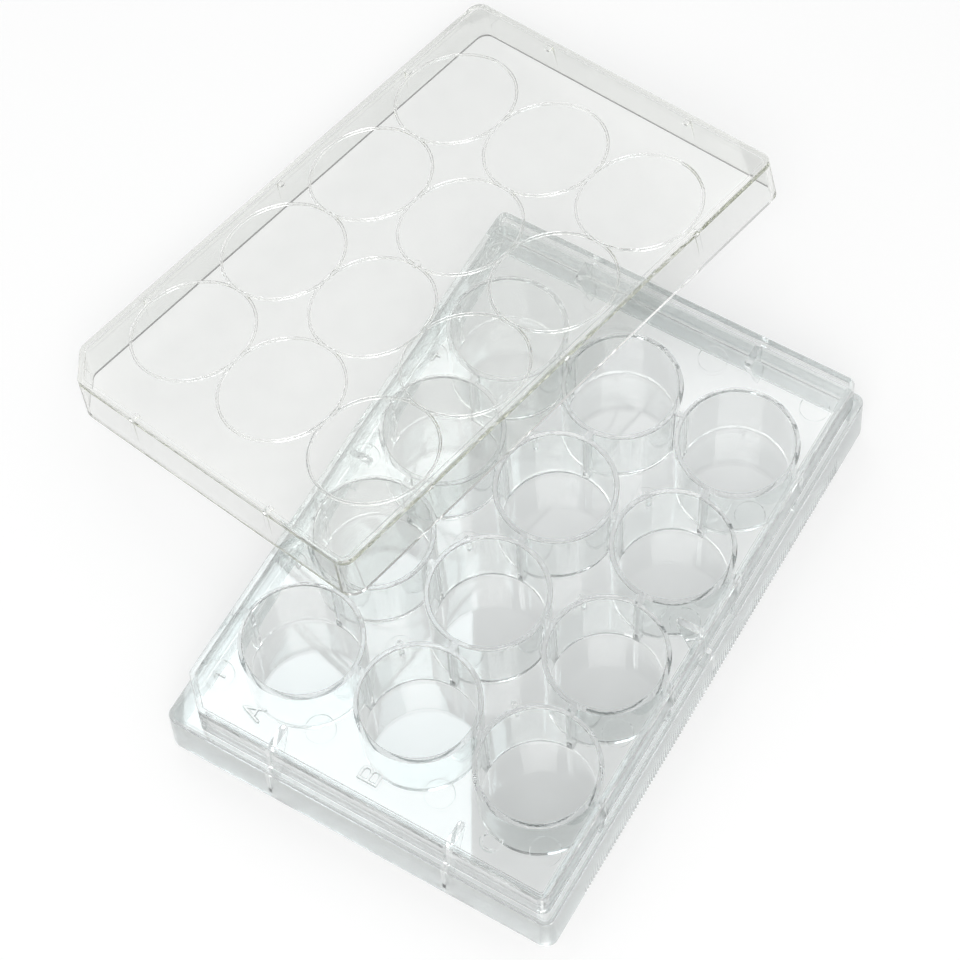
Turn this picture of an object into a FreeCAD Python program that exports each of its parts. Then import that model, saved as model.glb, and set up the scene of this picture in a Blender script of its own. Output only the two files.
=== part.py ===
import FreeCAD, Part
import math
import os
from FreeCAD import Vector

# A 12-well culture plate with its lid lying tilted across it, in millimetres, +Z up.
# The plate stands on its skirt.  Its row letters run along the short side at -X and its
# column numbers along the long side at +Y.  The last step moves both pieces together, so
# that the origin is the bottom centre of the box that holds them.

# Plate: footprint, skirt and shelf
PLATE_LENGTH = 127.76
PLATE_WIDTH = 85.48
PLATE_HEIGHT = 19.6
SHELF_HEIGHT = 11.26
SHELF_THICKNESS = 1.25
SHELF_EDGE = 0.2
SKIRT_WALL = 1.28
SKIRT_DRAFT = 0.42
SKIRT_CORNER_RADIUS = 2.5

# Plate: the upright rim above the shelf, with its corner beside well A1 cut off
RIM_FOOT_INSET = 1.98
RIM_DRAFT = 0.26
RIM_WALL = 1.16
RIM_EDGE = 0.12
RIM_CORNER_RADIUS = 1.9
RIM_CORNER_CUT = 6.0
RIM_CUT_RADIUS = 1.7

# Plate: deck around the wells, level with their rims
DECK_HEIGHT = 18.26
DECK_THICKNESS = 1.3

# Plate: wells, the webs between them and the open pockets that four wells enclose
WELL_COLUMNS = 4
WELL_ROWS = 3
END_MARGIN = 9.11
SIDE_MARGIN = 0.98
WELL_GAP = 1.27
WELL_RIM_EDGE = 0.2
WELL_WALL = 1.0
WELL_OUTER_TAPER = 0.31
WELL_INNER_TAPER = 0.23
WELL_BOTTOM = 1.4
WELL_BOTTOM_RADIUS = 0.6
WELL_FLOOR_THICKNESS = 1.2
WELL_FLOOR_RADIUS = 0.3
WEB_THICKNESS = 1.4
POCKET_FLOOR_THICKNESS = 0.9
GATE_PIN_RADIUS = 0.65
GATE_PIN_HEIGHT = 2.9

# Plate: ribs under the deck, from its underside down to the foot of the skirt
RIB_WIDTH = 1.6
RIB_FOOT_WIDTH = 0.6
RIB_LENGTH = 5.35
RIB_END_ROUND = 0.47
RIB_END_OFFSET = 19.4
RIB_FOOT_HEIGHT = 1.3
RIB_TIP_HEIGHT = 1.7

# Plate: round marks that the mould's ejector pins leave
EJECTOR_RADIUS = 3.0
EJECTOR_DEPTH = 0.1
EJECTOR_FROM_END = 7.6
EJECTOR_FROM_SIDE = 3.65

# Plate: upright grip ribs along the foot of both long skirts
GRIP_COUNT = 128
GRIP_PITCH = 0.8
GRIP_LAND = 0.2
GRIP_DEPTH = 0.25

# Plate: raised letters and numbers on the deck
MARK_RAISE = 0.22
MARK_BEVEL = 0.27
LETTER_HEIGHT = 4.5
LETTER_STROKE = 0.75
LETTER_FROM_RIM = 4.35
NUMBER_HEIGHT = 2.9
NUMBER_STROKE = 0.45

# Lid
LID_CLEARANCE = 0.51
LID_WALL = 1.1
LID_SKIRT_GAP = 0.42
LID_TOP_THICKNESS = 1.0
LID_LIP_HEIGHT = 0.5
LID_LIP_WIDTH = 1.35
LID_OUTER_DRAFT = 0.6
LID_INNER_DRAFT = 0.5
LID_EDGE = 0.25
VENT_BAR_HEIGHT = 0.45
VENT_BAR_WIDTH = 1.15
VENT_BAR_SETBACK = 0.1
GUIDE_RIB_DEPTH = 0.2
GUIDE_RIB_START = 2.3
BEAD_OVERLAP = 0.34
BEAD_WIDTH = 0.6
BEAD_HEIGHT = 0.4
BEAD_ROUND = 0.24
GATE_RADIUS = 1.0
GATE_HEIGHT = 0.15

# How the lid lies: one short skirt and one long skirt rest on the plate's rim, and the
# far corner between the other two stands on the table.  Contacts are measured from the
# middle of the skirt named.  The lid has slid until its underside all but meets the
# plate's corner.
LID_CONTACT_ON_SHORT_SKIRT = 20.2
LID_CONTACT_ON_LONG_SKIRT = 29.5
LID_CORNER_CLEARANCE = 0.477
LID_REST_GAP = 0.03

# Worked out from the sizes above
HALF_LENGTH = PLATE_LENGTH / 2
HALF_WIDTH = PLATE_WIDTH / 2
RIM_TOP_INSET = RIM_FOOT_INSET + RIM_DRAFT
RIM_INNER_INSET = RIM_TOP_INSET + RIM_WALL
ROOM_HALF_LENGTH = HALF_LENGTH - RIM_INNER_INSET
ROOM_HALF_WIDTH = HALF_WIDTH - RIM_INNER_INSET
PITCH_X = (2 * (ROOM_HALF_LENGTH - END_MARGIN) + WELL_GAP) / WELL_COLUMNS
PITCH_Y = (2 * (ROOM_HALF_WIDTH - SIDE_MARGIN) + WELL_GAP) / WELL_ROWS
WELL_RADIUS = (min(PITCH_X, PITCH_Y) - WELL_GAP) / 2
COLUMN_X = [(i - (WELL_COLUMNS - 1) / 2) * PITCH_X for i in range(WELL_COLUMNS)]
ROW_Y = [((WELL_ROWS - 1) / 2 - i) * PITCH_Y for i in range(WELL_ROWS)]
COLUMN_GAP_X = [(left + right) / 2 for left, right in zip(COLUMN_X, COLUMN_X[1:])]
ROW_GAP_Y = [(upper + lower) / 2 for upper, lower in zip(ROW_Y, ROW_Y[1:])]
EJECTOR_END_X = ROOM_HALF_LENGTH - EJECTOR_FROM_END
EJECTOR_SIDE_Y = ROOM_HALF_WIDTH - EJECTOR_FROM_SIDE
DECK_UNDERSIDE = DECK_HEIGHT - DECK_THICKNESS
POCKET_FLOOR = WELL_BOTTOM + POCKET_FLOOR_THICKNESS
SHELF_UNDERSIDE = SHELF_HEIGHT - SHELF_THICKNESS
LID_INNER_INSET = RIM_FOOT_INSET - LID_CLEARANCE
LID_OUTER_INSET = LID_INNER_INSET - LID_WALL
LID_DEPTH = PLATE_HEIGHT - SHELF_HEIGHT + VENT_BAR_HEIGHT - LID_SKIRT_GAP
LID_HEIGHT = LID_DEPTH + LID_TOP_THICKNESS + LID_LIP_HEIGHT

# Solids that are joined or cut reach this far past the face they start from
OVERLAP = 0.3
SMALLEST_RADIUS = 0.2


# ---------------------------------------------------------------- outlines and solids

def rounded_wire(corners, radii, height):
    """Closed wire through the corners of a convex outline, each corner rounded."""
    points = [Vector(x, y, height) for x, y in corners]
    arcs = []
    for index, corner in enumerate(points):
        back = (points[index - 1] - corner).normalize()
        ahead = (points[(index + 1) % len(points)] - corner).normalize()
        half_angle = back.getAngle(ahead) / 2
        setback = radii[index] / math.tan(half_angle)
        depth = radii[index] / math.sin(half_angle) - radii[index]
        middle = corner + (back + ahead).normalize() * depth
        arcs.append((corner + back * setback, middle, corner + ahead * setback))
    edges = []
    for index, (start, middle, end) in enumerate(arcs):
        edges.append(Part.Arc(start, middle, end).toShape())
        edges.append(Part.makeLine(end, arcs[(index + 1) % len(arcs)][0]))
    return Part.Wire(edges)


def skirt_wire(inset, height):
    """Outline of the skirt, an inset in from the footprint."""
    x = HALF_LENGTH - inset
    y = HALF_WIDTH - inset
    radius = SKIRT_CORNER_RADIUS - inset
    return rounded_wire([(x, y), (-x, y), (-x, -y), (x, -y)], [radius] * 4, height)


def rim_wire(inset, height):
    """Outline that the rim and the lid share, an inset in from the footprint."""
    x = HALF_LENGTH - inset
    y = HALF_WIDTH - inset
    grown = RIM_FOOT_INSET - inset
    cut = RIM_CORNER_CUT + (2 - math.sqrt(2)) * grown
    radius = max(RIM_CORNER_RADIUS + grown, SMALLEST_RADIUS)
    cut_radius = max(RIM_CUT_RADIUS + grown, SMALLEST_RADIUS)
    corners = [(x, y), (cut - x, y), (-x, y - cut), (-x, -y), (x, -y)]
    return rounded_wire(corners, [radius, cut_radius, cut_radius, radius, radius], height)


def column(wire, height):
    """Straight-sided solid that rises from a flat outline."""
    return Part.Face(wire).extrude(Vector(0, 0, height))


def stack(wires):
    """Solid through outlines that lie one above another."""
    return Part.makeLoft(wires, True, True)


def turned(profile):
    """Solid of revolution about Z from a closed profile of edges in the XZ plane."""
    return Part.Face(Part.Wire(profile)).revolve(Vector(0, 0, 0), Vector(0, 0, 1), 360)


def upright_plate(outline, width):
    """Flat plate in the XZ plane, centred on Y, from (x, z) corners."""
    wire = Part.makePolygon([Vector(x, -width / 2, z) for x, z in outline + outline[:1]])
    return Part.Face(wire).extrude(Vector(0, width, 0))


def on_wall(solid, wall_distance, turn, along):
    """Set a solid whose +X points inwards on the wall that a turn in degrees picks."""
    placed = solid.copy()
    placed.translate(Vector(-wall_distance, along, 0))
    placed.rotate(Vector(0, 0, 0), Vector(0, 0, 1), turn)
    return placed


# ---------------------------------------------------------------- letters and numbers

def bevelled(mark, width):
    """A raised stroke with its upper edges cut back by a share of its width."""
    upper = MARK_RAISE / 2 + OVERLAP
    edges = [edge for edge in mark.Edges if edge.BoundBox.ZMin > upper]
    return mark.makeChamfer(MARK_BEVEL * width, edges)


def bar(start, end, width):
    """Raised stroke with round ends between two points in plan."""
    along = Vector(end[0] - start[0], end[1] - start[1], 0)
    half = width / 2
    right = Vector(along.Length, -half, 0)
    left = Vector(along.Length, half, 0)
    edges = [
        Part.makeLine(Vector(0, -half, 0), right),
        Part.Arc(right, Vector(along.Length + half, 0, 0), left).toShape(),
        Part.makeLine(left, Vector(0, half, 0)),
        Part.Arc(Vector(0, half, 0), Vector(-half, 0, 0), Vector(0, -half, 0)).toShape(),
    ]
    solid = bevelled(column(Part.Wire(edges), MARK_RAISE + OVERLAP), width)
    solid.rotate(Vector(0, 0, 0), Vector(0, 0, 1), math.degrees(math.atan2(along.y, along.x)))
    solid.translate(Vector(start[0], start[1], 0))
    return solid


def bow(centre, radius, start_angle, end_angle, width):
    """Raised stroke along an arc, from one angle anticlockwise to another, in degrees."""
    height = MARK_RAISE + OVERLAP
    sweep = end_angle - start_angle
    up = Vector(0, 0, 1)
    outer = Part.makeCylinder(radius + width / 2, height, Vector(0, 0, 0), up, sweep)
    solid = bevelled(outer.cut(Part.makeCylinder(radius - width / 2, height)), width)
    solid.rotate(Vector(0, 0, 0), up, start_angle)
    solid.translate(Vector(centre[0], centre[1], 0))
    return solid


def letter(name, size, width):
    """Strokes of one letter or number, centred on the origin."""
    top = (size - width) / 2
    half = top / 2
    if name == "A":
        foot = 0.72 * top
        return [
            bar((-foot, -top), (0, top), width),
            bar((foot, -top), (0, top), width),
            bar((-0.62 * foot, -0.3 * top), (0.62 * foot, -0.3 * top), width),
        ]
    if name == "B":
        spine = -0.7 * top
        belly = 0.15 * top
        strokes = [bar((spine, -top), (spine, top), width)]
        for y in (-top, 0, top):
            strokes.append(bar((spine, y), (belly, y), width))
        for y in (-half, half):
            strokes.append(bow((belly, y), half, -90, 90, width))
        return strokes
    if name == "C":
        return [bow((0, 0), top, 50, 310, width)]
    if name == "1":
        return [bar((0, -top), (0, top), width), bar((-half, half), (0, top), width)]
    if name == "2":
        return [
            bow((0, half), half, -35, 170, width),
            bar((half * math.cos(math.radians(35)), half * 0.42), (-half, -top), width),
            bar((-half, -top), (half, -top), width),
        ]
    if name == "3":
        return [bow((0, half), half, -90, 150, width), bow((0, -half), half, -150, 90, width)]
    return [
        bar((0.4 * top, -top), (0.4 * top, top), width),
        bar((0.4 * top, top), (-0.7 * top, -0.3 * top), width),
        bar((-0.7 * top, -0.3 * top), (0.8 * top, -0.3 * top), width),
    ]


def deck_marks():
    """Row letters beside the first column and numbers beside the first row."""
    marks = []
    for name, y in zip("ABC", ROW_Y):
        place = Vector(LETTER_FROM_RIM - ROOM_HALF_LENGTH, y, DECK_HEIGHT - OVERLAP)
        for stroke in letter(name, LETTER_HEIGHT, LETTER_STROKE):
            stroke.translate(place)
            marks.append(stroke)
    for name, x in zip("1234", [-EJECTOR_END_X] + COLUMN_GAP_X):
        place = Vector(x, EJECTOR_SIDE_Y, DECK_HEIGHT - OVERLAP)
        for stroke in letter(name, NUMBER_HEIGHT, NUMBER_STROKE):
            stroke.translate(place)
            marks.append(stroke)
    return marks


# ---------------------------------------------------------------- plate

def skirt_shell():
    """Skirt and shelf as one block, with the grip ribs cut in its long sides."""
    edge_start = SHELF_HEIGHT - SHELF_EDGE
    block = stack([
        skirt_wire(0, 0),
        skirt_wire(SKIRT_DRAFT, edge_start),
        skirt_wire(SKIRT_DRAFT + SHELF_EDGE, SHELF_HEIGHT),
    ])
    valley = HALF_WIDTH - GRIP_DEPTH
    peak = HALF_WIDTH + GRIP_DEPTH * GRIP_LAND / (GRIP_PITCH - GRIP_LAND)
    outside = peak + OVERLAP
    start = -GRIP_COUNT * GRIP_PITCH / 2
    comb = [Vector(start, outside, 0), Vector(start, peak, 0)]
    for index in range(GRIP_COUNT):
        comb.append(Vector(start + (index + 0.5) * GRIP_PITCH, valley, 0))
        comb.append(Vector(start + (index + 1) * GRIP_PITCH, peak, 0))
    comb.append(Vector(-start, outside, 0))
    comb.append(comb[0])
    cutter = Part.Face(Part.makePolygon(comb)).extrude(Vector(0, 0, edge_start))
    other = cutter.copy()
    other.rotate(Vector(0, 0, 0), Vector(0, 0, 1), 180)
    return block.cut([cutter, other])


def rim_shell():
    """The upright rim as one block, standing on the shelf."""
    edge_start = PLATE_HEIGHT - RIM_EDGE
    return stack([
        rim_wire(RIM_FOOT_INSET, SHELF_HEIGHT - OVERLAP),
        rim_wire(RIM_FOOT_INSET, SHELF_HEIGHT),
        rim_wire(RIM_TOP_INSET, edge_start),
        rim_wire(RIM_TOP_INSET + RIM_EDGE, PLATE_HEIGHT),
    ])


def plate_hollows():
    """The hollow inside the skirt, the one under the deck and the tray above the deck."""
    skirt_hollow = column(skirt_wire(SKIRT_WALL, -OVERLAP), SHELF_UNDERSIDE + OVERLAP)
    under_deck = column(rim_wire(RIM_INNER_INSET, 0), DECK_UNDERSIDE)
    edge_start = PLATE_HEIGHT - RIM_EDGE
    tray = stack([
        rim_wire(RIM_INNER_INSET, DECK_HEIGHT),
        rim_wire(RIM_INNER_INSET, edge_start),
        rim_wire(RIM_INNER_INSET - RIM_EDGE, PLATE_HEIGHT),
        rim_wire(RIM_INNER_INSET - RIM_EDGE, PLATE_HEIGHT + OVERLAP),
    ])
    return [skirt_hollow, under_deck, tray]


def arc_point(centre_x, centre_z, radius, angle):
    return Vector(
        centre_x + radius * math.cos(math.radians(angle)),
        0,
        centre_z + radius * math.sin(math.radians(angle)),
    )


def well_body():
    """Outside of one well, filled in, with a rounded bottom and rim edge."""
    foot = WELL_RADIUS - WELL_OUTER_TAPER
    round_x = foot - WELL_BOTTOM_RADIUS
    round_z = WELL_BOTTOM + WELL_BOTTOM_RADIUS
    edge_x = WELL_RADIUS - WELL_RIM_EDGE
    edge_z = DECK_HEIGHT - WELL_RIM_EDGE
    lower_arc = [arc_point(round_x, round_z, WELL_BOTTOM_RADIUS, a) for a in (-90, -45, 0)]
    upper_arc = [arc_point(edge_x, edge_z, WELL_RIM_EDGE, a) for a in (0, 45, 90)]
    centre_low = Vector(0, 0, WELL_BOTTOM)
    centre_high = Vector(0, 0, DECK_HEIGHT)
    return turned([
        Part.makeLine(centre_low, lower_arc[0]),
        Part.Arc(*lower_arc).toShape(),
        Part.makeLine(lower_arc[2], upper_arc[0]),
        Part.Arc(*upper_arc).toShape(),
        Part.makeLine(upper_arc[2], centre_high),
        Part.makeLine(centre_high, centre_low),
    ])


def well_hollow():
    """Inside of one well, open at the top, with a rounded floor and mouth."""
    mouth = WELL_RADIUS - WELL_WALL
    floor_z = WELL_BOTTOM + WELL_FLOOR_THICKNESS
    round_x = mouth - WELL_INNER_TAPER - WELL_FLOOR_RADIUS
    round_z = floor_z + WELL_FLOOR_RADIUS
    edge_x = mouth + WELL_RIM_EDGE
    edge_z = DECK_HEIGHT - WELL_RIM_EDGE
    lower_arc = [arc_point(round_x, round_z, WELL_FLOOR_RADIUS, a) for a in (-90, -45, 0)]
    upper_arc = [arc_point(edge_x, edge_z, WELL_RIM_EDGE, a) for a in (180, 135, 90)]
    centre_low = Vector(0, 0, floor_z)
    above = Vector(edge_x, 0, DECK_HEIGHT + OVERLAP)
    centre_high = Vector(0, 0, DECK_HEIGHT + OVERLAP)
    return turned([
        Part.makeLine(centre_low, lower_arc[0]),
        Part.Arc(*lower_arc).toShape(),
        Part.makeLine(lower_arc[2], upper_arc[0]),
        Part.Arc(*upper_arc).toShape(),
        Part.makeLine(upper_arc[2], above),
        Part.makeLine(above, centre_high),
        Part.makeLine(centre_high, centre_low),
    ])


def web(start, end):
    """Upright web between two points in plan, level with the well rims."""
    low = Vector(min(start[0], end[0]), min(start[1], end[1]), WELL_BOTTOM)
    size_x = abs(end[0] - start[0])
    size_y = abs(end[1] - start[1])
    if size_x == 0:
        size_x = WEB_THICKNESS
        low.x -= WEB_THICKNESS / 2
    else:
        size_y = WEB_THICKNESS
        low.y -= WEB_THICKNESS / 2
    return Part.makeBox(size_x, size_y, DECK_HEIGHT - WELL_BOTTOM, low)


def webs():
    """Webs between neighbouring wells, and from the outer rows to the long walls."""
    found = []
    for y in ROW_Y:
        for left, right in zip(COLUMN_X, COLUMN_X[1:]):
            found.append(web((left, y), (right, y)))
    wall_y = ROOM_HALF_WIDTH + OVERLAP
    stops = [wall_y] + ROW_Y + [-wall_y]
    for x in COLUMN_X:
        for upper, lower in zip(stops, stops[1:]):
            found.append(web((x, lower), (x, upper)))
    return found


def inner_field(bottom, top):
    """Block over the ground between the centres of the outer wells."""
    size_x = COLUMN_X[-1] - COLUMN_X[0]
    size_y = ROW_Y[0] - ROW_Y[-1]
    return Part.makeBox(size_x, size_y, top - bottom, Vector(COLUMN_X[0], ROW_Y[-1], bottom))


def gate_pins():
    """Short pin left by the gate in the middle of each pocket."""
    pins = []
    for x in COLUMN_GAP_X:
        for y in ROW_GAP_Y:
            foot = Vector(x, y, POCKET_FLOOR - OVERLAP)
            pins.append(Part.makeCylinder(GATE_PIN_RADIUS, GATE_PIN_HEIGHT + OVERLAP, foot))
    return pins


def ejector_marks():
    """Shallow round cuts with sloping sides in the deck and in the pocket floors."""
    deck_places = [(x, y) for x in (-EJECTOR_END_X, EJECTOR_END_X) for y in ROW_GAP_Y]
    for x in [-EJECTOR_END_X] + COLUMN_GAP_X + [EJECTOR_END_X]:
        deck_places += [(x, -EJECTOR_SIDE_Y), (x, EJECTOR_SIDE_Y)]
    depth = EJECTOR_DEPTH + OVERLAP
    disc = Part.makeCone(EJECTOR_RADIUS - EJECTOR_DEPTH, EJECTOR_RADIUS + OVERLAP, depth)
    ring = disc.cut(Part.makeCylinder(GATE_PIN_RADIUS, depth))
    pocket_places = [(x, y) for x in COLUMN_GAP_X for y in ROW_GAP_Y]
    cuts = []
    for solid, places, height in ((disc, deck_places, DECK_HEIGHT), (ring, pocket_places, POCKET_FLOOR)):
        for x, y in places:
            copy = solid.copy()
            copy.translate(Vector(x, y, height - EJECTOR_DEPTH))
            cuts.append(copy)
    return cuts


def rib_outline(width, height):
    """Plan of a rib at one height, its inner end rounded by a share of its width."""
    half = width / 2
    outer_end = SKIRT_WALL - RIM_INNER_INSET - OVERLAP
    plan = [(outer_end, -half), (RIB_LENGTH, -half), (RIB_LENGTH, half), (outer_end, half)]
    inner_radius = RIB_END_ROUND * width
    return rounded_wire(plan, [SMALLEST_RADIUS, inner_radius, inner_radius, SMALLEST_RADIUS], height)


def ribs():
    """Upright ribs that carry the deck and the shelf, each thinner towards its foot."""
    outer_end = SKIRT_WALL - RIM_INNER_INSET - 2 * OVERLAP
    profile = upright_plate([
        (RIB_LENGTH, DECK_UNDERSIDE + OVERLAP),
        (RIB_LENGTH, DECK_UNDERSIDE),
        (0, RIB_TIP_HEIGHT),
        (outer_end, RIB_FOOT_HEIGHT),
        (outer_end, SHELF_UNDERSIDE + OVERLAP),
        (-OVERLAP, SHELF_UNDERSIDE + OVERLAP),
        (-OVERLAP, DECK_UNDERSIDE + OVERLAP),
    ], 2 * RIB_WIDTH)
    rib = profile.common(stack([rib_outline(RIB_FOOT_WIDTH, 0), rib_outline(RIB_WIDTH, DECK_HEIGHT)]))
    places = [(ROOM_HALF_LENGTH, turn, side * RIB_END_OFFSET) for turn in (0, 180) for side in (-1, 1)]
    places += [(ROOM_HALF_WIDTH, turn, 0) for turn in (90, 270)]
    return [on_wall(rib, *place) for place in places]


def well_centres(solid):
    """A copy of a solid at the centre of every well."""
    copies = []
    for x in COLUMN_X:
        for y in ROW_Y:
            copy = solid.copy()
            copy.translate(Vector(x, y, 0))
            copies.append(copy)
    return copies


def plate():
    above_floor = inner_field(POCKET_FLOOR, DECK_HEIGHT + OVERLAP)
    body = skirt_shell().fuse(rim_shell()).cut(plate_hollows() + [above_floor])
    floor = inner_field(WELL_BOTTOM, POCKET_FLOOR)
    body = body.fuse([floor] + well_centres(well_body()) + webs() + ribs() + gate_pins())
    body = body.cut(well_centres(well_hollow()) + ejector_marks())
    return body.fuse(deck_marks()).removeSplitter()


# ---------------------------------------------------------------- lid

def lid_beads():
    """Rings under the lid, one above each well, that run into each other."""
    outer = WELL_RADIUS + WELL_GAP / 2 + BEAD_OVERLAP
    height = BEAD_HEIGHT + OVERLAP
    ring = Part.makeCylinder(outer, height).cut(Part.makeCylinder(outer - BEAD_WIDTH, height))
    lower_edges = [edge for edge in ring.Edges if edge.BoundBox.ZMax < BEAD_HEIGHT / 2]
    ring = ring.makeFillet(BEAD_ROUND, lower_edges)
    ring.translate(Vector(0, 0, LID_DEPTH - BEAD_HEIGHT))
    return well_centres(ring)


def lid_stops():
    """Bars under the lid that hold it off the rim, each with a guide rib on the skirt."""
    bar_end = RIM_INNER_INSET - VENT_BAR_SETBACK - LID_INNER_INSET
    top_face = LID_INNER_DRAFT
    start_face = LID_INNER_DRAFT * GUIDE_RIB_START / LID_DEPTH
    vent_bar = upright_plate([
        (top_face - OVERLAP, LID_DEPTH - VENT_BAR_HEIGHT),
        (bar_end, LID_DEPTH - VENT_BAR_HEIGHT),
        (bar_end, LID_DEPTH + OVERLAP),
        (top_face - OVERLAP, LID_DEPTH + OVERLAP),
    ], VENT_BAR_WIDTH)
    guide = upright_plate([
        (start_face, GUIDE_RIB_START),
        (top_face + GUIDE_RIB_DEPTH, LID_DEPTH),
        (top_face - OVERLAP, LID_DEPTH),
        (start_face - OVERLAP, GUIDE_RIB_START),
    ], VENT_BAR_WIDTH)
    end_wall = HALF_LENGTH - LID_INNER_INSET
    side_wall = HALF_WIDTH - LID_INNER_INSET
    places = [(end_wall, turn, side * RIB_END_OFFSET) for turn in (0, 180) for side in (-1, 1)]
    places += [(side_wall, turn, x) for turn in (90, 270) for x in (COLUMN_X[0], 0, COLUMN_X[-1])]
    return [on_wall(solid, *place) for place in places for solid in (vent_bar, guide)]


def lid():
    """The lid on its own, standing on its skirt, centred on the origin."""
    top_inset = LID_OUTER_INSET + LID_OUTER_DRAFT
    block = stack([
        rim_wire(LID_OUTER_INSET, 0),
        rim_wire(top_inset, LID_HEIGHT - LID_EDGE),
        rim_wire(top_inset + LID_EDGE, LID_HEIGHT),
    ])
    hollow = stack([
        rim_wire(LID_INNER_INSET, 0),
        rim_wire(LID_INNER_INSET + LID_INNER_DRAFT, LID_DEPTH),
    ])
    recess_floor = LID_HEIGHT - LID_LIP_HEIGHT
    recess = column(rim_wire(top_inset + LID_LIP_WIDTH, recess_floor), LID_LIP_HEIGHT + OVERLAP)
    gate = Part.makeCylinder(GATE_RADIUS, GATE_HEIGHT + OVERLAP, Vector(0, 0, recess_floor - OVERLAP))
    body = block.cut([hollow, recess])
    return body.fuse(lid_beads() + lid_stops() + [gate]).removeSplitter()


def lid_placement():
    """Placement that rests the lid on the plate's rim at two points and on the table at one."""
    half_length = HALF_LENGTH - LID_INNER_INSET
    half_width = HALF_WIDTH - LID_INNER_INSET
    rim_x = HALF_LENGTH - RIM_TOP_INSET - RIM_EDGE
    rim_y = HALF_WIDTH - RIM_TOP_INSET - RIM_EDGE
    rim_z = PLATE_HEIGHT + LID_REST_GAP
    up = Vector(0, 0, 1)

    on_short = Vector(-half_length, -LID_CONTACT_ON_SHORT_SKIRT, 0)
    on_long = Vector(LID_CONTACT_ON_LONG_SKIRT, -half_width, 0)
    lid_along = on_long - on_short
    span = lid_along.Length
    lid_along.normalize()
    lid_across = up.cross(lid_along)
    corner_radius = RIM_CORNER_RADIUS + RIM_FOOT_INSET - LID_OUTER_INSET
    corner = Vector(HALF_LENGTH, HALF_WIDTH, 0) - Vector(1, 1, 0) * (LID_OUTER_INSET + corner_radius)
    to_table = (corner - on_short).dot(lid_across) + corner_radius
    tilt = math.asin(rim_z / to_table)

    from_corner = (LID_DEPTH - LID_CORNER_CLEARANCE) / math.sin(tilt)
    reach = math.sqrt((span ** 2 + span * math.sqrt(span ** 2 - 4 * from_corner ** 2)) / 2)
    crossing = Vector(rim_x - reach, rim_y, rim_z)
    far = Vector(rim_x, rim_y - math.sqrt(span ** 2 - reach ** 2), rim_z)
    along = (far - crossing).normalize()
    across = up.cross(along)
    downhill = across * math.cos(tilt) - up * math.sin(tilt)
    normal = along.cross(downhill)
    axis_x = along * lid_along.x + downhill * lid_across.x
    axis_y = along * lid_along.y + downhill * lid_across.y
    origin = crossing - axis_x * on_short.x - axis_y * on_short.y
    return FreeCAD.Placement(FreeCAD.Matrix(
        axis_x.x, axis_y.x, normal.x, origin.x,
        axis_x.y, axis_y.y, normal.y, origin.y,
        axis_x.z, axis_y.z, normal.z, origin.z,
        0, 0, 0, 1,
    ))


# ---------------------------------------------------------------- both pieces

def main():
    well_plate = plate()
    resting_lid = lid()
    resting_lid.Placement = lid_placement()
    box = Part.Compound([well_plate, resting_lid]).optimalBoundingBox(False, False)
    to_centre = Vector(-box.Center.x, -box.Center.y, 0)
    os.makedirs("parts", exist_ok=True)
    for name, shape in (("well_plate", well_plate), ("lid", resting_lid)):
        solid = shape.Solids[0]
        solid.translate(to_centre)
        solid.exportStep(os.path.join("parts", name + ".step"))
        print(name, len(shape.Solids), "solid", solid.isValid(), round(solid.Volume, 1), "mm3")
    print("moved by", to_centre, "box", box)


main()
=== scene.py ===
import math

import bpy
from mathutils import Euler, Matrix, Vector


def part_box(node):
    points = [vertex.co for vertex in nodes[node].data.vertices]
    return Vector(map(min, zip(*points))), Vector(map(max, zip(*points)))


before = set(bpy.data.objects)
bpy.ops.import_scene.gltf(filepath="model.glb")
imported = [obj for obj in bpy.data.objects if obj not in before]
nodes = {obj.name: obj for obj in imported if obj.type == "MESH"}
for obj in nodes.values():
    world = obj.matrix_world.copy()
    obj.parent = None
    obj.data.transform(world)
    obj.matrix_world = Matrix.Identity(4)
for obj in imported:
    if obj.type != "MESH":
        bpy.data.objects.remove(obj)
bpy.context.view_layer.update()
scene = bpy.context.scene

# Camera: it looks down on the plate from the side of well A1
CAMERA_TARGET = Vector((-0.012858, -0.012718, 0.010))
CAMERA_DISTANCE = 0.57979
CAMERA_TURN = (27.05172, 2.32086, -59.44348)
CAMERA_LENS = 109.681
SENSOR_WIDTH = 36.0
CLIP_START = 0.01

# Plastic: clear polystyrene. A noise is its scale, its detail and what its seed is shifted by.
IOR = 1.59
FLOW = (22.0, 3.0, 0.0)
STREAKS = (170.0, 2.0, 11.0)
STREAK_STRETCH = (1.0, 1.0, 0.06)
STREAK_SHARE = 0.55
TINT_EDGES = (0.35, 0.65)
HAZE = (90.0, 4.0, 7.0)
ROUGHNESS = (0.004, 0.03)
WAVES = (60.0, 2.0, 3.0)
WAVE_STRENGTH = 0.25
WAVE_HEIGHT = 0.00002
LIGHT_LET_THROUGH = (0.86, 0.866, 0.866, 1)

# Plate: its plastic, and the matt texture on its outer skirt, one wall thick, below the shelf, where its
# colour is also darkened as painted shade
PLATE_TINTS = ((0.905, 0.922, 0.918), (0.94, 0.957, 0.953))
PLATE_DEPTH = ((0.91, 0.914, 0.915), 70.0)
PLATE_SEED = 1.0
SKIRT_BAND = 0.0019
SHELF_UNDERSIDE = 0.0105
MATT_ROUGHNESS = 0.13
# Painted shade: the colour the skirt below the shelf is darkened by
SKIRT_PAINTED_SHADE = (0.75, 0.77, 0.77, 1)

# Lid: its plastic
LID_TINTS = ((0.885, 0.89, 0.88), (0.915, 0.92, 0.91))
LID_DEPTH = ((0.972, 0.974, 0.961), 120.0)
LID_SEED = 5.0

# Floor: white paper just below the object, with part of its white as glow where it is seen
FLOOR_RADIUS = 3.0
FLOOR_CORNERS = 96
FLOOR_LEVEL = -0.0002
PAPER_WHITE = 0.97
GLOW_SHARE = 0.36

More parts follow.
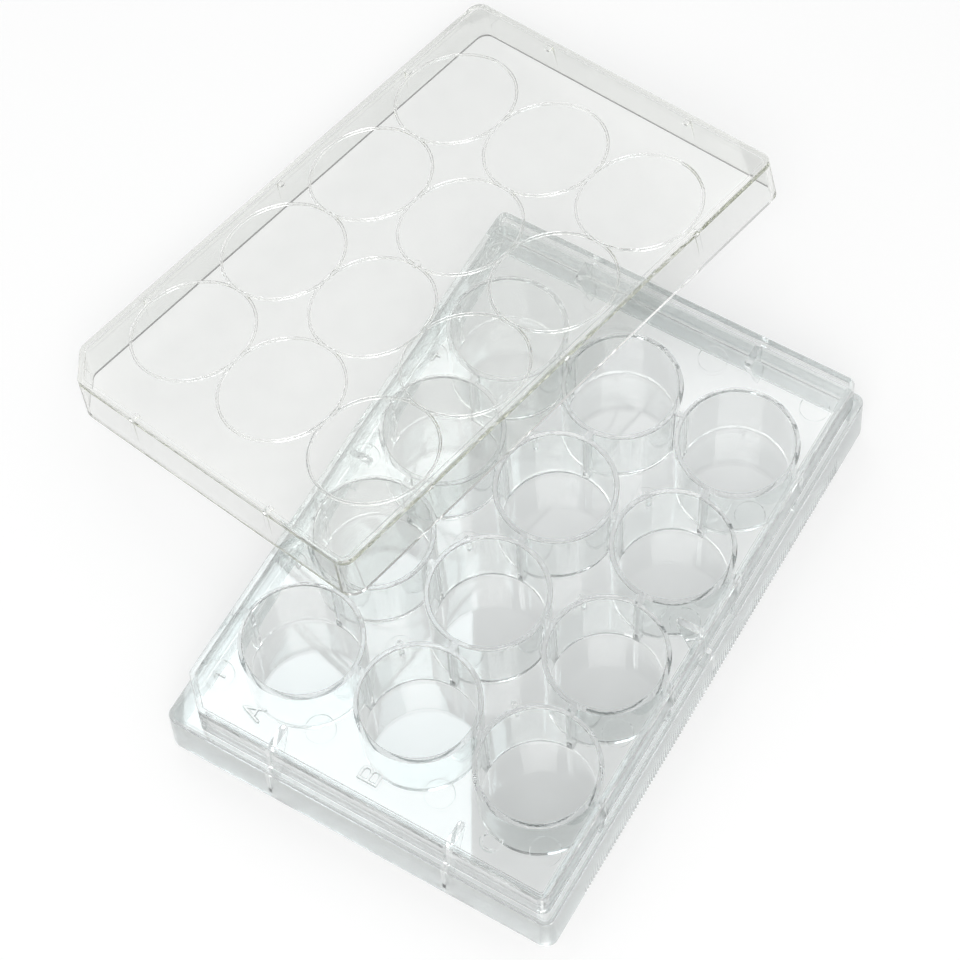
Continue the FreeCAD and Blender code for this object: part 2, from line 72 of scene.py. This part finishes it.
# World: grey levels by the height of the direction, and plain white where it is seen below WHITE_BELOW
SKY = (
    (0.0, 0.15),
    (0.45, 0.12),
    (0.62, 0.85),
    (0.866, 0.6),
    (0.878, 2.8),
    (0.89, 1.4),
    (0.905, 0.9),
    (0.92, 0.45),
    (0.935, 0.0),
)
WHITE_BELOW = 0.17
WHITE = (1, 1, 1, 1)

# Lamps: name, centre, size, radiance, point aimed at, colour, roll
SOFTBOXES = (
    ("softbox_back", (0.277, 0.293, 0.9), (0.37, 0.15), 3.2, (0.277, 0.293, 0.0), (0.88, 0.98, 1.0), 31.0),
    ("softbox_side", (0.69, 0.77, 0.84), (0.46, 0.46), 1.1, (0.02, 0.02, 0.02), (1.0, 1.0, 0.99), 0.0),
    ("softbox_fill", (-0.9, -0.5, 1.3), (1.2, 1.2), 4.0, (0.0, 0.0, 0.0), (1.0, 0.997, 0.99), 0.0),
)

# Sockets of a Mix node: factor, first, second and result, for numbers and for colours
NUMBERS = (0, 2, 3, 0)
COLOURS = (0, 6, 7, 2)


def new_tree(owner):
    owner.use_nodes = True
    owner.node_tree.nodes.clear()
    return owner.node_tree


def add(nt, kind, inputs=None, **settings):
    """A new node: its settings first, then each input, set to a value or fed by another node's socket."""
    node = nt.nodes.new(kind)
    for name, value in settings.items():
        setattr(node, name, value)
    for name, value in (inputs or {}).items():
        if isinstance(value, bpy.types.NodeSocket):
            nt.links.new(value, node.inputs[name])
        else:
            node.inputs[name].default_value = value
    return node


def maths(nt, operation, *values):
    return add(nt, "ShaderNodeMath", dict(enumerate(values)), operation=operation).outputs[0]


def noise(nt, vector, kind, seed):
    scale, detail, shift = kind
    inputs = {"Vector": vector, "Scale": scale, "Detail": detail, "W": seed + shift}
    return add(nt, "ShaderNodeTexNoise", inputs, noise_dimensions="4D").outputs["Fac"]


def ramp(nt, factor, stops):
    node = add(nt, "ShaderNodeValToRGB", {"Fac": factor})
    elements = node.color_ramp.elements
    for i, (position, colour) in enumerate(stops):
        stop = elements[i] if i < 2 else elements.new(position)
        stop.position = position
        stop.color = (*colour, 1)
    return node.outputs["Color"]


def mixed(nt, sockets, factor, first, second, **settings):
    inputs = dict(zip(sockets, (factor, first, second)))
    return add(nt, "ShaderNodeMix", inputs, **settings).outputs[sockets[3]]


def mixed_shader(nt, factor, first, second):
    return add(nt, "ShaderNodeMixShader", {0: factor, 1: first, 2: second}).outputs[0]


def matt_and_shade_band(nt, position, node):
    """1 on the node's outer skirt below its shelf, where it is made matt and darker with painted shade, 0
    elsewhere.
    """
    low, high = (Vector(corner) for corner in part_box(node))
    middle = (low + high) / 2
    split = add(nt, "ShaderNodeSeparateXYZ", {"Vector": position})
    beyond = []
    for axis, name in enumerate("XY"):
        offset = maths(nt, "SUBTRACT", split.outputs[name], middle[axis])
        distance = maths(nt, "ABSOLUTE", offset)
        beyond.append(maths(nt, "GREATER_THAN", distance, (high - low)[axis] / 2 - SKIRT_BAND))
    skirt = maths(nt, "MAXIMUM", *beyond)
    under = maths(nt, "LESS_THAN", split.outputs["Z"], SHELF_UNDERSIDE)
    return maths(nt, "MULTIPLY", skirt, under)


def flowed_colour(nt, position, tints, seed):
    """Slow patches where the plastic flowed, and upright streaks of lighter and darker tone."""
    upright = add(nt, "ShaderNodeMapping", {"Vector": position, "Scale": STREAK_STRETCH}).outputs["Vector"]
    flow = noise(nt, position, FLOW, seed)
    streaks = noise(nt, upright, STREAKS, seed)
    blend = mixed(nt, NUMBERS, STREAK_SHARE, flow, streaks, data_type="FLOAT")
    return ramp(nt, blend, zip(TINT_EDGES, tints))


def polish(nt, position, seed):
    """A polished surface with faint hazy patches."""
    smooth, hazy = ROUGHNESS
    haze = noise(nt, position, HAZE, seed)
    return add(nt, "ShaderNodeMapRange", {"Value": haze, "To Min": smooth, "To Max": hazy}).outputs["Result"]


def waviness(nt, position, seed):
    height = noise(nt, position, WAVES, seed)
    inputs = {"Height": height, "Strength": WAVE_STRENGTH, "Distance": WAVE_HEIGHT}
    return add(nt, "ShaderNodeBump", inputs).outputs["Normal"]


def clear_plastic(name, tints, depth, seed, matt_and_shade_node=None):
    """Clear moulded polystyrene: it lets the lamps' light through, and its colour deepens with thickness."""
    mat = bpy.data.materials.new(name)
    nt = new_tree(mat)
    position = add(nt, "ShaderNodeTexCoord").outputs["Object"]
    colour = flowed_colour(nt, position, tints, seed)
    roughness = polish(nt, position, seed)
    if matt_and_shade_node:
        band = matt_and_shade_band(nt, position, matt_and_shade_node)
        # The skirt band's colour is darkened as painted shade under the shelf; its extra roughness is the
        # real matt texture
        colour = mixed(nt, COLOURS, band, colour, SKIRT_PAINTED_SHADE, data_type="RGBA", blend_type="MULTIPLY")
        roughness = maths(nt, "MULTIPLY_ADD", band, MATT_ROUGHNESS, roughness)
    surface = {
        "Base Color": colour,
        "Roughness": roughness,
        "IOR": IOR,
        "Transmission Weight": 1.0,
        "Normal": waviness(nt, position, seed),
    }
    body = add(nt, "ShaderNodeBsdfPrincipled", surface)
    rays = add(nt, "ShaderNodeLightPath")
    lighting = maths(nt, "MAXIMUM", rays.outputs["Is Shadow Ray"], rays.outputs["Is Diffuse Ray"])
    through = add(nt, "ShaderNodeBsdfTransparent", {"Color": LIGHT_LET_THROUGH})
    depth_colour, density = depth
    deepening = add(nt, "ShaderNodeVolumeAbsorption", {"Color": (*depth_colour, 1), "Density": density})
    output = {
        "Surface": mixed_shader(nt, lighting, body.outputs[0], through.outputs[0]),
        "Volume": deepening.outputs[0],
    }
    add(nt, "ShaderNodeOutputMaterial", output)
    return mat


def seen_directly(nt):
    """1 for rays from the camera and for rays that reach here by gloss or through glass."""
    rays = add(nt, "ShaderNodeLightPath")
    first = maths(nt, "MAXIMUM", rays.outputs["Is Camera Ray"], rays.outputs["Is Glossy Ray"])
    return maths(nt, "MAXIMUM", first, rays.outputs["Is Transmission Ray"])


def white_paper():
    mat = bpy.data.materials.new("white_paper")
    nt = new_tree(mat)
    matte = add(nt, "ShaderNodeBsdfDiffuse", {"Color": (PAPER_WHITE, PAPER_WHITE, PAPER_WHITE, 1)})
    glow = add(nt, "ShaderNodeEmission", {"Color": WHITE, "Strength": 1.0})
    share = maths(nt, "MULTIPLY", seen_directly(nt), GLOW_SHARE)
    surface = mixed_shader(nt, share, matte.outputs[0], glow.outputs[0])
    add(nt, "ShaderNodeOutputMaterial", {"Surface": surface})
    return mat


def make_floor():
    bpy.ops.mesh.primitive_circle_add(
        vertices=FLOOR_CORNERS, radius=FLOOR_RADIUS, fill_type="NGON", location=(0, 0, FLOOR_LEVEL)
    )
    floor = bpy.context.object
    floor.name = "floor"
    floor.data.materials.append(white_paper())


def make_world():
    """A plain studio: white near the horizon where it is seen, grey levels overhead."""
    world = bpy.data.worlds.new("studio")
    scene.world = world
    nt = new_tree(world)
    place = add(nt, "ShaderNodeTexCoord")
    height = add(nt, "ShaderNodeSeparateXYZ", {"Vector": place.outputs["Generated"]}).outputs["Z"]
    sky = ramp(nt, height, ((stop, (level, level, level)) for stop, level in SKY))
    low = maths(nt, "LESS_THAN", height, WHITE_BELOW)
    horizon = maths(nt, "MULTIPLY", seen_directly(nt), low)
    colour = mixed(nt, COLOURS, horizon, sky, WHITE, data_type="RGBA")
    shine = add(nt, "ShaderNodeBackground", {"Color": colour})
    add(nt, "ShaderNodeOutputWorld", {"Surface": shine.outputs[0]})


def softbox(name, centre, size, radiance, aim, colour, roll):
    data = bpy.data.lights.new(name, "AREA")
    data.shape = "RECTANGLE"
    data.size, data.size_y = size
    data.color = colour
    data.energy = radiance * math.pi * size[0] * size[1]
    lamp = bpy.data.objects.new(name, data)
    scene.collection.objects.link(lamp)
    lamp.location = centre
    lamp.rotation_euler = (Vector(centre) - Vector(aim)).to_track_quat("Z", "Y").to_euler()
    lamp.rotation_euler.rotate_axis("Z", math.radians(roll))


def make_camera():
    data = bpy.data.cameras.new("camera")
    camera = bpy.data.objects.new("camera", data)
    scene.collection.objects.link(camera)
    turn = Euler([math.radians(angle) for angle in CAMERA_TURN], "XYZ")
    camera.rotation_euler = turn
    camera.location = CAMERA_TARGET + turn.to_matrix() @ Vector((0, 0, CAMERA_DISTANCE))
    data.lens = CAMERA_LENS
    data.sensor_width = SENSOR_WIDTH
    data.clip_start = CLIP_START
    scene.camera = camera


plastics = {
    "well_plate": clear_plastic("plate_polystyrene", PLATE_TINTS, PLATE_DEPTH, PLATE_SEED, "well_plate"),
    "lid": clear_plastic("lid_polystyrene", LID_TINTS, LID_DEPTH, LID_SEED),
}
for node, plastic in plastics.items():
    for slot in nodes[node].material_slots:
        slot.material = plastic

make_floor()
make_world()
for lamp in SOFTBOXES:
    softbox(*lamp)
make_camera()

# Light is followed far enough to leave the plastic's thick edges
scene.view_settings.view_transform = "Standard"
scene.cycles.max_bounces = 128
scene.cycles.transmission_bounces = 80
scene.cycles.glossy_bounces = 112
scene.cycles.transparent_max_bounces = 48
scene.cycles.caustics_reflective = False
scene.cycles.caustics_refractive = False
